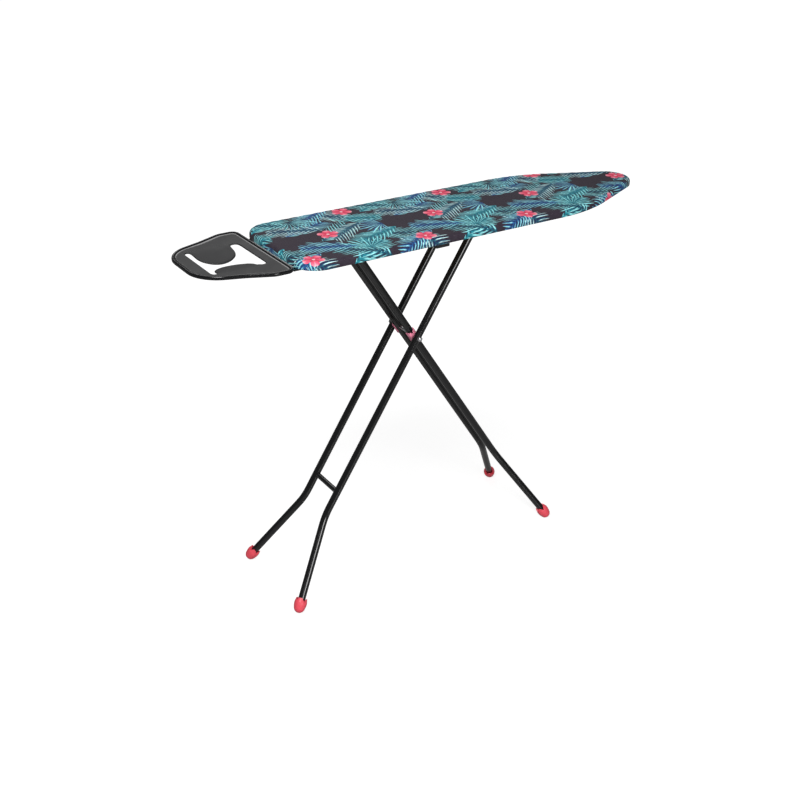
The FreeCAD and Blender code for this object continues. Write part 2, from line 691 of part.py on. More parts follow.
def pivot_nuts():
    """Dome nuts on the ends of the pivot rod: a hexagon with a domed end."""
    pieces = []
    seat = num("outer_half + tube_r")
    rod_r = num("axle_r")
    for sign in (-1, 1):
        corners = [
            Vector(num("nut_r") * math.cos(math.radians(60 * k)), 0,
                   num("nut_r") * math.sin(math.radians(60 * k))) for k in range(7)
        ]
        hexagon = Part.Face(Part.makePolygon(corners)).extrude(Y * num("nut_hexagon"))
        dome = Part.makeSphere(num("nut_dome_r"), Vector(0, num("nut_dome_centre"), 0))
        keep = Part.makeCylinder(num("nut_r"), num("nut_height"), Vector(), Y)
        nut = hexagon.fuse(dome.common(keep))
        nut = nut.cut(Part.makeCylinder(rod_r, num("rod_half") - seat, Vector(), Y))
        if sign < 0:
            nut = nut.mirror(Vector(), Y)
        nut.translate(Vector(num("pivot_x"), sign * seat, num("pivot_z")))
        pieces.append(nut)
    thing = doc.addObject("Part::Feature", "pivot_nuts")
    thing.Shape = Part.makeCompound(pieces)
    return thing


# ---- the height lever --------------------------------------------------------------------------


def lever_outline(width):
    """The lever's plan: from the grip past the pin to a tip in the rack channel."""
    grip = Vector(num("lever_grip_x"), -num("lever_grip_y"), 0)
    pin = Vector(num("lever_x"), -num("lever_y"), 0)
    tip = Vector(num("lever_tip_x"), 0, 0)
    half = num(width) / 2
    shapes = [Part.makeCylinder(half, 1, grip)]
    for start, end in ((grip, pin), (pin, tip)):
        run = end - start
        strip = Part.makeBox(run.Length, 2 * half, 1, Vector(0, -half, 0))
        strip.rotate(Vector(), Z, math.degrees(math.atan2(run.y, run.x)))
        strip.translate(start)
        shapes += [strip, Part.makeCylinder(half, 1, end)]
    plan = shapes[0].multiFuse(shapes[1:]).removeSplitter()
    return min(plan.Faces, key=lambda face: face.CenterOfMass.z)


def height_lever():
    """Flat lever that turns on a pin under the deck, with a tooth beside the top bar."""
    plate = lever_outline("lever_width").extrude(Vector(0, 0, num("lever_plate")))
    plate.translate(Vector(0, 0, num("lever_plate_z")))
    tooth_height = num("lever_plate_z - lever_tooth_z")
    length, width = num("tooth_length"), num("tooth_width")
    tooth = Part.makeBox(
        length, width, tooth_height,
        Vector(num("lever_tip_x") - length / 2, -width / 2, num("lever_tooth_z")),
    )
    bore = Part.makeCylinder(
        num("lever_pin_r + run_gap"), num("lever_plate"),
        Vector(num("lever_x"), -num("lever_y"), num("lever_plate_z")),
    )
    thing = doc.addObject("Part::Feature", "lever_plate")
    thing.Shape = plate.fuse(tooth).cut(bore).removeSplitter()
    return thing


def lever_grip(plate):
    """Plastic grip closed over the outer end of the lever."""
    width = num("grip_width")
    end_y = -num("lever_grip_y + grip_length / 3 - grip_shift")
    lower = num("lever_plate_z - grip_below")
    height = num("grip_below + lever_plate + grip_above")
    blank = Part.makeBox(width, num("grip_length"), height,
                         Vector(num("lever_grip_x + grip_shift") - width / 2, end_y, lower))
    blank = blank.makeFillet(num("grip_round"), blank.Edges)
    thing = doc.addObject("Part::Feature", "lever_grip")
    thing.Shape = blank.cut(plate.Shape)
    return thing


def lever_pin():
    """Headed pin with a shoulder that holds the lever off the deck."""
    bottom = "(lever_plate_z - lever_pin_head - lever_pin_gap)"
    head = cylinder("lever_pin_head", "lever_pin_head_r", "lever_pin_head",
                    x="lever_x", y="-lever_y", z=bottom)
    shank = cylinder("lever_pin_shank", "lever_pin_r",
                     "%s - %s + screw_depth" % (DECK_BOTTOM, bottom),
                     x="lever_x", y="-lever_y", z=bottom)
    return fused("lever_pin", head, shank)


def lever_spring():
    """Two turns of wire round the pin, between the lever and the deck."""
    turns = []
    for index in (0, 1):
        turn = bind(doc.addObject("Part::Torus", "lever_spring_turn_%d" % index),
                    Radius1="spring_r", Radius2="spring_wire_r")
        lift = "lever_plate_z + lever_plate + spring_lift + 2 * %d * spring_wire_r" % index
        turns.append(put(turn, "lever_x", "-lever_y", lift))
    return group("lever_spring", *turns)


# ---- the whole ---------------------------------------------------------------------------------

nodes = {
    "deck_panel": deck_panel(),
    "foam_pad": layer("foam_pad", "cloth", DECK_BOTTOM[:-1] + " + deck)", "foam"),
    "cover": cover(),
    "hinge_bracket": hinge_bracket(),
    "hinge_screws": screws("hinge_screws", HINGE_SCREWS, PLATE_BOTTOM,
                           "screw_depth + sheet_metal"),
    "rack_channel": rack_channel(),
    "rack_screws": screws("rack_screws", RACK_SCREWS, PLATE_BOTTOM,
                          "screw_depth + sheet_metal"),
    "iron_tray": iron_tray(),
    "tray_arm_near": tray_arm("tray_arm_near", "-"),
    "tray_arm_far": tray_arm("tray_arm_far", ""),
    "arm_screws": screws("arm_screws", ARM_SCREWS,
                         "(%s - arm_drop - arm_thick)" % DECK_BOTTOM,
                         "screw_depth + arm_drop + arm_thick"),
    "tray_screws": screws("tray_screws", TRAY_SCREWS, "(tray_top - tray_lip - arm_thick)",
                          "arm_thick + tray_floor - blind_skin"),
    "lever_pin": lever_pin(),
    "lever_spring": lever_spring(),
    "hinge_axle": cross_rod("hinge_axle", "axle_r", "axle_half", HINGE_X, HINGE_Z),
    "hinge_washers": ring_pair(
        "hinge_washers", "washer_r", "axle_r", "channel_half + washer_gap",
        "inner_half - tube_r - channel_half - washer_gap", HINGE_X, HINGE_Z),
    "pivot_spacer_near": pivot_spacer("pivot_spacer_near", "-"),
    "pivot_spacer_far": pivot_spacer("pivot_spacer_far", ""),
    "outer_top_bar": cross_rod("outer_top_bar", "top_bar_r", "top_bar_half", TOP_BAR_X, HINGE_Z),
    "bar_collars": ring_pair("bar_collars", "collar_r", "top_bar_r", "channel_half + collar_gap",
                             "collar_width", TOP_BAR_X, HINGE_Z),
    "outer_crossbar": crossbar(),
    "pivot_rod": cross_rod("pivot_rod", "axle_r", "rod_half", "pivot_x", "pivot_z"),
    "pivot_nuts": pivot_nuts(),
    "lever_plate": height_lever(),
}
doc.recompute()
nodes["lever_grip"] = lever_grip(nodes["lever_plate"])
for leg in (INNER, OUTER):
    nodes.update(leg_pieces(leg))

doc.recompute()
for thing in doc.Objects:
    if "Invalid" in thing.State or "Error" in thing.State:
        raise RuntimeError("%s is %s" % (thing.Name, thing.State))
os.makedirs("parts", exist_ok=True)
for name, thing in nodes.items():
    shape = thing.Shape
    if shape.isNull() or not shape.isValid() or not shape.Solids:
        raise RuntimeError("%s has no valid solid" % name)
    thing.Label = name
    shape.exportStep("parts/%s.step" % name)
    print("%-20s %2d solids %9.1f mm3" % (name, len(shape.Solids), shape.Volume))
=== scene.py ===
"""Looks of a folding ironing board: printed cover, foam, moulded iron tray and enamelled legs.

Metres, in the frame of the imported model: +X to the nose, +Y across, +Z up.
"""
import json
import math

import bmesh
import bpy
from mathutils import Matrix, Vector, noise


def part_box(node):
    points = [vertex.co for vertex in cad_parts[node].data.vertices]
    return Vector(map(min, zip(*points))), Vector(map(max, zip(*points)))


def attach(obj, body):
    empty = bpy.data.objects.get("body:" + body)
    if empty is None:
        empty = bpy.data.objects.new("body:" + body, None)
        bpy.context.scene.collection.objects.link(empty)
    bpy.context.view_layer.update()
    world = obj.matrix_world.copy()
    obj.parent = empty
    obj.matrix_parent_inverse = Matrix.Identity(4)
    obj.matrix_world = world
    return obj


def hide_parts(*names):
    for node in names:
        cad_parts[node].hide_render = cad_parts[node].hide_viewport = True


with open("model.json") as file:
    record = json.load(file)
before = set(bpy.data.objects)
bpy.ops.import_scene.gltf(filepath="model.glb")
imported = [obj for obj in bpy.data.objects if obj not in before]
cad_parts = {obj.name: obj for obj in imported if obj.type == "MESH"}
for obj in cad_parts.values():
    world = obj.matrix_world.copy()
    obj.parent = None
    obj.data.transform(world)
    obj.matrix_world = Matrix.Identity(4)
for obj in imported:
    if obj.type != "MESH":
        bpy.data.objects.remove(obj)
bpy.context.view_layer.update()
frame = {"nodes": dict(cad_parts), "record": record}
NODES = frame["nodes"]
MM = 0.001

# ---- where things are, from the frame ----------------------------------------------------------

COVER_LOW, COVER_HIGH = (Vector(corner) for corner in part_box("cover"))
FOAM_LOW, FOAM_HIGH = (Vector(corner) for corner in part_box("foam_pad"))
TRAY_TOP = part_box("iron_tray")[1][2]
HALF_WIDTH = COVER_HIGH.y

# the board's outline, as the CAD makes it
CORNER_R = 0.062
SIDE_END_X = 0.2975
FLANK_R = 0.420
TAPER = math.radians(25)
NOSE_R = 0.062


# ---- shader building blocks --------------------------------------------------------------------


class Graph:
    """Adds nodes to one node tree and wires them."""

    def __init__(self, tree):
        self.tree = tree

    def node(self, kind, **settings):
        made = self.tree.nodes.new(kind)
        for name, value in settings.items():
            setattr(made, name, value)
        return made

    def feed(self, socket, value):
        if isinstance(value, bpy.types.NodeSocket):
            self.tree.links.new(value, socket)
        elif value is not None:
            socket.default_value = value

    def math(self, operation, a, b=None, c=None, clamp=False):
        made = self.node("ShaderNodeMath", operation=operation, use_clamp=clamp)
        for socket, value in zip(made.inputs, (a, b, c)):
            self.feed(socket, value)
        return made.outputs[0]

    def vector_math(self, operation, a, b=None, scale=None):
        made = self.node("ShaderNodeVectorMath", operation=operation)
        self.feed(made.inputs[0], a)
        self.feed(made.inputs[1], b)
        if scale is not None:
            self.feed(made.inputs["Scale"], scale)
        return made.outputs["Value" if operation in ("LENGTH", "DOT_PRODUCT") else "Vector"]

    def ramp(self, value, low, high, to_low=0.0, to_high=1.0):
        """Value from low to high becomes to_low to to_high, smoothly."""
        made = self.node("ShaderNodeMapRange", interpolation_type="SMOOTHSTEP")
        for socket, given in zip(made.inputs, (value, low, high, to_low, to_high)):
            self.feed(socket, given)
        return made.outputs[0]

    def mix(self, factor, a, b, blend="MIX"):
        made = self.node("ShaderNodeMix", data_type="RGBA", blend_type=blend)
        self.feed(made.inputs["Factor"], factor)
        self.feed(made.inputs[6], a)
        self.feed(made.inputs[7], b)
        return made.outputs[2]

    def noise(self, vector, scale, detail=2.0, roughness=0.5):
        made = self.node("ShaderNodeTexNoise")
        self.feed(made.inputs["Vector"], vector)
        made.inputs["Scale"].default_value = scale
        made.inputs["Detail"].default_value = detail
        made.inputs["Roughness"].default_value = roughness
        return made.outputs[0]

    def split(self, vector):
        made = self.node("ShaderNodeSeparateXYZ")
        self.feed(made.inputs[0], vector)
        return made.outputs[0], made.outputs[1], made.outputs[2]

    def join(self, x, y, z=0.0):
        made = self.node("ShaderNodeCombineXYZ")
        for socket, value in zip(made.inputs, (x, y, z)):
            self.feed(socket, value)
        return made.outputs[0]

    def place(self, group, **inputs):
        """A shared effect, with its own values. Names write spaces as underscores."""
        made = self.node("ShaderNodeGroup", node_tree=group)
        for name, value in inputs.items():
            self.feed(made.inputs[name.replace("_", " ")], value)
        return made.outputs

    def bump(self, height, distance, strength=1.0, normal=None):
        made = self.node("ShaderNodeBump")
        made.inputs["Strength"].default_value = strength
        made.inputs["Distance"].default_value = distance
        self.feed(made.inputs["Height"], height)
        self.feed(made.inputs["Normal"], normal)
        return made.outputs[0]


def group(name, inputs, outputs):
    """A new shader node group: its graph, the values that it is given and the sockets it fills."""
    tree = bpy.data.node_groups.new(name, "ShaderNodeTree")
    for label, kind, value in inputs:
        socket = tree.interface.new_socket(label, in_out="INPUT", socket_type="NodeSocket" + kind)
        if value is not None:
            socket.default_value = value
    for label, kind in outputs:
        tree.interface.new_socket(label, in_out="OUTPUT", socket_type="NodeSocket" + kind)
    graph = Graph(tree)
    entry, leave = graph.node("NodeGroupInput"), graph.node("NodeGroupOutput")
    return graph, entry.outputs, leave.inputs


def material(name, **settings):
    """A material with its graph and Principled shader, whose plain sockets are set here."""
    made = bpy.data.materials.new(name)
    made.use_nodes = True
    graph = Graph(made.node_tree)
    shader = made.node_tree.nodes["Principled BSDF"]
    for label, value in settings.items():
        shader.inputs[label.replace("_", " ")].default_value = value
    return made, graph, shader


def object_place(graph):
    return graph.node("ShaderNodeTexCoord").outputs["Object"]


# ---- shared effects ----------------------------------------------------------------------------


def grain_group():
    """Fine moulded or sprayed texture: a height and a slow tint variation."""
    graph, given, out = group(
        "fine_grain",
        [("Place", "Vector", None), ("Grain Size", "Float", 0.0005), ("Patch Size", "Float", 0.05)],
        [("Height", "Float"), ("Variation", "Float")],
    )
    fine = graph.vector_math("SCALE", given["Place"], scale=graph.math("DIVIDE", 1.0, given["Grain Size"]))
    slow = graph.vector_math("SCALE", given["Place"], scale=graph.math("DIVIDE", 1.0, given["Patch Size"]))
    graph.feed(out["Height"], graph.noise(fine, 1.0, 3.0, 0.6))
    graph.feed(out["Variation"], graph.noise(slow, 1.0, 3.0, 0.55))
    return graph.tree


def weave_group():
    """Plain weave: threads that pass over and under, with uneven thickness."""
    graph, given, out = group(
        "plain_weave",
        [("Place", "Vector", None), ("Thread", "Float", 0.0004)],
        [("Height", "Float"), ("Slub", "Float")],
    )
    pitch = graph.math("DIVIDE", math.pi, given["Thread"])
    x, y, _ = graph.split(graph.vector_math("SCALE", given["Place"], scale=pitch))
    over = graph.math("MULTIPLY", graph.math("SINE", x), graph.math("SINE", y))
    slub = graph.noise(graph.vector_math("MULTIPLY", given["Place"], (90, 900, 1)), 1.0, 2.0)
    graph.feed(out["Height"], graph.math("ADD", graph.math("MULTIPLY", over, 0.5), slub))
    graph.feed(out["Slub"], slub)
    return graph.tree


def motif_place(graph, given):
    """Distances along and across a motif, from its base, in the repeat of the print.

    The ink below is added in a vanishing amount, so the motifs are worked out one after another
    and the shader never has to hold them all at once.
    """
    tied = graph.vector_math("MULTIPLY", given["Under"], (1e-7, 1e-7, 1e-7))
    place = graph.vector_math("ADD", given["Place"], tied)
    apart_x, apart_y, _ = graph.split(graph.vector_math("SUBTRACT", place, given["Base"]))
    near = graph.math("WRAP", apart_x, REPEAT / 2, -REPEAT / 2)
    way_x, way_y, _ = graph.split(given["Way"])
    along = graph.math("MULTIPLY_ADD", near, way_x, graph.math("MULTIPLY", apart_y, way_y))
    across = graph.math(
        "SUBTRACT", graph.math("MULTIPLY", apart_y, way_x), graph.math("MULTIPLY", near, way_y)
    )
    return along, across


def tinted(graph, given, tone):
    """Dark to mid to light ink as the tone rises from 0 to 1."""
    body = graph.mix(graph.ramp(tone, 0.0, 0.5), given["Dark"], given["Mid"])
    return graph.mix(graph.ramp(tone, 0.52, 0.95), body, given["Light"])


MOTIF_INPUTS = [
    ("Under", "Color", None), ("Place", "Vector", None), ("Base", "Vector", None),
    ("Way", "Vector", None), ("Length", "Float", 0.1),
]
INKS = [("Dark", "Color", None), ("Mid", "Color", None), ("Light", "Color", None)]


def inks(graph, given, phase, outward, luck, count):
    """One blade's colour: dark on one side, lighter on the other, with a pale line and streaks."""
    streak = graph.noise(graph.join(graph.math("MULTIPLY", count, 4.0), outward, luck), 1.8, 2.0)
    tone = graph.math("MULTIPLY_ADD", phase, 0.8, graph.math("MULTIPLY", luck, 0.35))
    tone = graph.math("ADD", tone, graph.math("MULTIPLY_ADD", streak, 0.9, -0.2))
    near_rib = graph.ramp(outward, 0.0, 0.3, -0.22, 0.0)
    tone = graph.math("ADD", tone, near_rib)
    body = graph.mix(graph.ramp(tone, -0.05, 0.42), given["Dark"], given["Mid"])
    line = graph.math("ABSOLUTE", graph.math("SUBTRACT", phase, 0.14))
    width = graph.math("MULTIPLY_ADD", luck, 0.16, 0.07)
    line = graph.ramp(graph.math("SUBTRACT", width, line), -0.05, 0.02)
    line = graph.math("MULTIPLY", line, graph.ramp(streak, 0.34, 0.46))
    line = graph.math("MULTIPLY", line, graph.ramp(outward, 0.05, 0.3))
    return graph.mix(line, body, given["Light"])


def frond_group():
    """A printed palm frond: a curved rib with swept leaflets on both sides."""
    graph, given, out = group(
        "palm_frond",
        MOTIF_INPUTS + INKS + [
            ("Spread", "Float", 0.04), ("Spacing", "Float", 0.008), ("Sweep", "Float", 0.8),
            ("Curve", "Float", 0.0), ("Rib", "Color", None), ("Rib Width", "Float", 0.0011),
        ],
        [("Color", "Color")],
    )
    length, spread = given["Length"], given["Spread"]
    along, across = motif_place(graph, given)
    sag = graph.math("MULTIPLY", graph.math("MULTIPLY", along, along), given["Curve"])
    bent = graph.math("SUBTRACT", across, sag)
    half = graph.math("ABSOLUTE", bent)
    side = graph.math("GREATER_THAN", bent, 0.0)
    droop = graph.math("MULTIPLY_ADD", graph.math("DIVIDE", half, spread), 0.35, 0.75)
    root = graph.math("SUBTRACT", along, graph.math(
        "MULTIPLY", graph.math("MULTIPLY", half, given["Sweep"]), droop))
    share = graph.math("DIVIDE", root, length, clamp=True)
    hump = graph.math("MULTIPLY", share, graph.math("SUBTRACT", 4.0, graph.math("MULTIPLY", share, 4.0)))
    reach = graph.math("MULTIPLY_ADD", graph.math("POWER", hump, 0.5), spread, 0.0004)
    count = graph.math("MULTIPLY_ADD", side, 0.45, graph.math("DIVIDE", root, given["Spacing"]))
    luck_node = graph.node("ShaderNodeTexWhiteNoise", noise_dimensions="2D")
    graph.feed(luck_node.inputs["Vector"], graph.join(graph.math("FLOOR", count), side))
    luck = luck_node.outputs["Value"]
    reach = graph.math("MULTIPLY", reach, graph.math("MULTIPLY_ADD", luck, 0.34, 0.76))
    outward = graph.math("DIVIDE", half, reach)
    phase = graph.math("SUBTRACT", graph.math("FRACT", count), 0.5)
    width = graph.math("MULTIPLY_ADD", graph.math("POWER", outward, 2.4), -0.42, 0.46)
    leaf = graph.ramp(graph.math("SUBTRACT", width, graph.math("ABSOLUTE", phase)), 0.0, 0.06)
    within = graph.math("MULTIPLY", graph.math("GREATER_THAN", root, 0.0),
                        graph.math("LESS_THAN", root, length))
    within = graph.math("MULTIPLY", within, graph.math("LESS_THAN", outward, 1.0))
    blade = inks(graph, given, phase, outward, luck, count)
    inked = graph.mix(graph.math("MULTIPLY", leaf, within), given["Under"], blade)
    thin = graph.math("MULTIPLY", given["Rib Width"], graph.math("SUBTRACT", 1.2, share))
    on_rib = graph.math("MULTIPLY", graph.math("LESS_THAN", half, thin),
                        graph.math("LESS_THAN", along, length))
    on_rib = graph.math("MULTIPLY", on_rib, graph.math("GREATER_THAN", along, 0.0))
    graph.feed(out["Color"], graph.mix(on_rib, inked, given["Rib"]))
    return graph.tree


def fan_group():
    """A printed fan palm: blades that spread from one point, curl and part at their tips."""
    graph, given, out = group(
        "fan_palm",
        MOTIF_INPUTS + INKS + [
            ("Span", "Float", 2.4), ("Step", "Float", 0.17), ("Curl", "Float", 4.0),
        ],
        [("Color", "Color")],
    )
    along, across = motif_place(graph, given)
    radius = graph.vector_math("LENGTH", graph.join(along, across))
    angle = graph.math("ARCTAN2", across, along)
    curl = graph.math("MULTIPLY", graph.math("MULTIPLY", radius, given["Curl"]), angle)
    angle = graph.math("SUBTRACT", angle, curl)
    count = graph.math("DIVIDE", angle, given["Step"])
    luck_node = graph.node("ShaderNodeTexWhiteNoise", noise_dimensions="1D")
    graph.feed(luck_node.inputs["W"], graph.math("FLOOR", count))
    luck = luck_node.outputs["Value"]
    spread = graph.math("MULTIPLY", given["Span"], 0.5)
    lobe = graph.math("DIVIDE", graph.math("ABSOLUTE", angle), spread)
    tip = graph.math("MULTIPLY", given["Length"], graph.math("MULTIPLY_ADD", luck, 0.2, 0.9))
    tip = graph.math("MULTIPLY", tip, graph.math("MULTIPLY_ADD", graph.math(
        "MULTIPLY", lobe, lobe), -0.38, 1.0))
    share = graph.math("DIVIDE", radius, tip)
    phase = graph.math("SUBTRACT", graph.math("FRACT", count), 0.5)
    width = graph.math("MULTIPLY_ADD", graph.math("POWER", share, 3.0), -0.42, 0.46)
    blade = graph.ramp(graph.math("SUBTRACT", width, graph.math("ABSOLUTE", phase)), 0.0, 0.06)
    within = graph.math("MULTIPLY", graph.math("LESS_THAN", lobe, 1.0),
                        graph.math("LESS_THAN", share, 1.0))
    graph.feed(out["Color"], graph.mix(
        graph.math("MULTIPLY", blade, within), given["Under"],
        inks(graph, given, phase, share, luck, count)))
    return graph.tree


def blossom_group():
    """A plain printed flower: rounded petals round a light centre."""
    graph, given, out = group(
        "blossom", MOTIF_INPUTS + INKS + [("Petals", "Float", 5.0)], [("Color", "Color")]
    )
    along, across = motif_place(graph, given)
    radius = graph.vector_math("LENGTH", graph.join(along, across))
    share = graph.math("DIVIDE", radius, given["Length"])
    turn = graph.math("DIVIDE", graph.math("ARCTAN2", across, along), 2 * math.pi)
    lane = graph.math("FRACT", graph.math("MULTIPLY", turn, given["Petals"]))
    side = graph.math("MULTIPLY", graph.math("ABSOLUTE", graph.math("SUBTRACT", lane, 0.5)), 2.0)
    edge = graph.math("POWER", graph.math("SUBTRACT", 1.0, graph.math("POWER", side, 2.4)), 0.5)
    petal_edge = graph.math("MULTIPLY_ADD", edge, 0.62, 0.38)
    inside = graph.ramp(graph.math("SUBTRACT", petal_edge, share), 0.0, 0.03)
    vein = graph.noise(graph.join(graph.math("MULTIPLY", turn, 90), share), 1.0, 2.0)
    tone = graph.math("MULTIPLY_ADD", share, 0.55, graph.math("MULTIPLY", vein, 0.6))
    tone = graph.math("SUBTRACT", tone, graph.math("MULTIPLY", side, 0.4))
    petals = tinted(graph, given, tone)
    heart = graph.ramp(share, 0.12, 0.17)
    petals = graph.mix(heart, given["Light"], petals)
    graph.feed(out["Color"], graph.mix(inside, given["Under"], petals))
    return graph.tree


REPEAT = 0.30
GRAIN = grain_group()
WEAVE = weave_group()
FROND = frond_group()
FAN = fan_group()
BLOSSOM = blossom_group()

# ---- materials ---------------------------------------------------------------------------------


def enamel():
    made, graph, shader = material(
        "black_stove_enamel", Base_Color=(0.005, 0.005, 0.0055, 1), Roughness=0.2,
        Coat_Weight=0.25, Coat_Roughness=0.05,
    )
    place = object_place(graph)
    grain = graph.place(GRAIN, Place=place, Grain_Size=0.0012, Patch_Size=0.04)
    graph.feed(shader.inputs["Roughness"], graph.ramp(grain["Variation"], 0.3, 0.7, 0.13, 0.22))
    graph.feed(shader.inputs["Normal"], graph.bump(grain["Height"], 0.00004, 0.5))
    return made


def plastic(name, colour, roughness, grain_size=0.0006, bump=0.00003, tint=0.12):
    made, graph, shader = material(name, Roughness=roughness)
    place = object_place(graph)
    grain = graph.place(GRAIN, Place=place, Grain_Size=grain_size, Patch_Size=0.02)
    dark = tuple(c * (1 - tint) for c in colour) + (1,)
    light = tuple(min(1, c * (1 + tint)) for c in colour) + (1,)
    graph.feed(shader.inputs["Base Color"], graph.mix(grain["Variation"], dark, light))
    graph.feed(
        shader.inputs["Roughness"],
        graph.ramp(grain["Variation"], 0.3, 0.7, roughness - 0.05, roughness + 0.05),
    )
    graph.feed(shader.inputs["Normal"], graph.bump(grain["Height"], bump))
    return made


def tray_plastic():
    """Black moulding: a grained semi-gloss rim and tongues, polished on the rolled edge; the rim and
    tongues also get a lighter grey base colour, a painted sheen.
    """
    made, graph, shader = material("tray_moulding", Specular_IOR_Level=0.42)
    rim = graph.split(graph.node("ShaderNodeUVMap", uv_map="cloth").outputs[0])[1]
    grain = graph.place(GRAIN, Place=object_place(graph), Grain_Size=0.0007, Patch_Size=0.05)
    rim = graph.ramp(rim, 0.1, 0.9)
    # painted sheen: the rim and tongues are coloured a lighter grey than the black rolled edge, though
    # both are the same black plastic
    satin_grey_painted_sheen = graph.mix(grain["Variation"], (0.014, 0.014, 0.015, 1), (0.030, 0.030, 0.032, 1))
    graph.feed(shader.inputs["Base Color"], graph.mix(rim, (0.006, 0.006, 0.007, 1), satin_grey_painted_sheen))
    rough = graph.ramp(grain["Variation"], 0.0, 1.0, 0.5, 0.64)
    smooth = graph.math("MULTIPLY", graph.math("SUBTRACT", rough, 0.16), rim)
    graph.feed(shader.inputs["Roughness"], graph.math("ADD", smooth, 0.16))
    graph.feed(shader.inputs["Normal"], graph.bump(grain["Height"], 0.00004, 0.5))
    return made


def zinc():
    made, graph, shader = material(
        "bright_zinc", Base_Color=(0.75, 0.76, 0.78, 1), Metallic=1.0, Roughness=0.28
    )
    grain = graph.place(GRAIN, Place=object_place(graph), Grain_Size=0.0008, Patch_Size=0.01)
    graph.feed(shader.inputs["Roughness"], graph.ramp(grain["Variation"], 0.3, 0.7, 0.2, 0.36))
    graph.feed(shader.inputs["Normal"], graph.bump(grain["Height"], 0.00003))
    return made


def chipboard():
    made, graph, shader = material("raw_chipboard", Roughness=0.8)
    place = object_place(graph)
    cell = graph.node("ShaderNodeTexVoronoi")
    graph.feed(cell.inputs["Vector"], graph.vector_math("MULTIPLY", place, (1.0, 0.45, 1.0)))
    cell.inputs["Scale"].default_value = 260
    tone = graph.split(cell.outputs["Color"])[0]
    patch = graph.noise(place, 30, 4)
    base = graph.mix(tone, (0.33, 0.21, 0.11, 1), (0.58, 0.42, 0.25, 1))
    graph.feed(shader.inputs["Base Color"], graph.mix(patch, base, (0.45, 0.31, 0.18, 1)))
    graph.feed(shader.inputs["Normal"], graph.bump(tone, 0.0002, 0.6))
    return made


# ---- the printed cotton ------------------------------------------------------------------------



def srgb(red, green, blue):
    """A colour for a shader from its everyday 0 to 255 numbers."""
    parts = [c / 255 for c in (red, green, blue)]
    return tuple(c / 12.92 if c <= 0.04045 else ((c + 0.055) / 1.055) ** 2.4 for c in parts) + (1,)


GROUND, DUSK = srgb(62, 52, 66), srgb(72, 58, 76)
NIGHT, NAVY, BLUE = srgb(22, 50, 78), srgb(24, 58, 108), srgb(40, 112, 172)
TEAL, SEA, AQUA = srgb(14, 112, 134), srgb(30, 158, 172), srgb(178, 244, 246)
PALE = srgb(222, 250, 250)
WINE, CORAL, BLUSH = srgb(222, 46, 88), srgb(252, 118, 148), srgb(255, 222, 228)

# the inks of the leaves, taken in turn
LEAF_INKS = [(TEAL, SEA, AQUA), (NAVY, BLUE, AQUA), (NIGHT, TEAL, AQUA), (NAVY, TEAL, PALE)]
FROND_ROWS, FRONDS_IN_ROW, FROND_ROW_STEP = 6, 3, 0.07
FROND_LENGTH, FROND_SPREAD, LEAFLET_STEP = 0.132, 0.041, 0.0125
FAN_ROWS, FAN_ROW_STEP, FAN_LENGTH = 3, 0.13, 0.072
BLOSSOM_ROWS, BLOSSOM_ROW_STEP, BLOSSOM_RADIUS = 3, 0.13, 0.027


def rows_of(count, step):
    """The middle of each row of motifs, spaced evenly about the board's centre line."""
    return [(row, (row - (count - 1) / 2) * step) for row in range(count)]


def towards(angle):
    return (math.cos(math.radians(angle)), math.sin(math.radians(angle)), 0)


def print_colour(graph, place):
    """The repeat of the print, from the ground up: leaning fronds, fan palms and blossoms."""
    ink = graph.mix(graph.noise(place, 18, 3), GROUND, DUSK)
    for row, y in rows_of(FROND_ROWS, FROND_ROW_STEP):
        for turn in range(FRONDS_IN_ROW):
            dark, mid, light = LEAF_INKS[(row + 2 * turn) % len(LEAF_INKS)]
            lean = (28, 152, -34, 206)[(row + turn) % 4]
            ink = graph.place(
                FROND, Under=ink, Place=place, Way=towards(lean),
                Base=((turn + row * 0.43) * REPEAT / FRONDS_IN_ROW, y, 0), Length=FROND_LENGTH,
                Spread=FROND_SPREAD, Spacing=LEAFLET_STEP, Sweep=1.1, Curve=(0.9, -0.9)[turn % 2],
                Dark=dark, Mid=mid, Light=light, Rib=mid,
            )["Color"]
    for row, y in rows_of(FAN_ROWS, FAN_ROW_STEP):
        dark, mid, light = LEAF_INKS[row]
        ink = graph.place(
            FAN, Under=ink, Place=place, Way=towards(70 + 110 * row),
            Base=((0.2 + row * 0.37) * REPEAT, y, 0), Length=FAN_LENGTH,
            Span=math.radians(150), Step=math.radians(13), Curl=3.0,
            Dark=dark, Mid=mid, Light=light,
        )["Color"]
    for row, y in rows_of(BLOSSOM_ROWS, BLOSSOM_ROW_STEP):
        ink = graph.place(
            BLOSSOM, Under=ink, Place=place, Way=towards(40 * row),
            Base=((0.7 + row * 0.37) * REPEAT, y, 0), Length=BLOSSOM_RADIUS,
            Dark=WINE, Mid=CORAL, Light=BLUSH,
        )["Color"]
    return ink


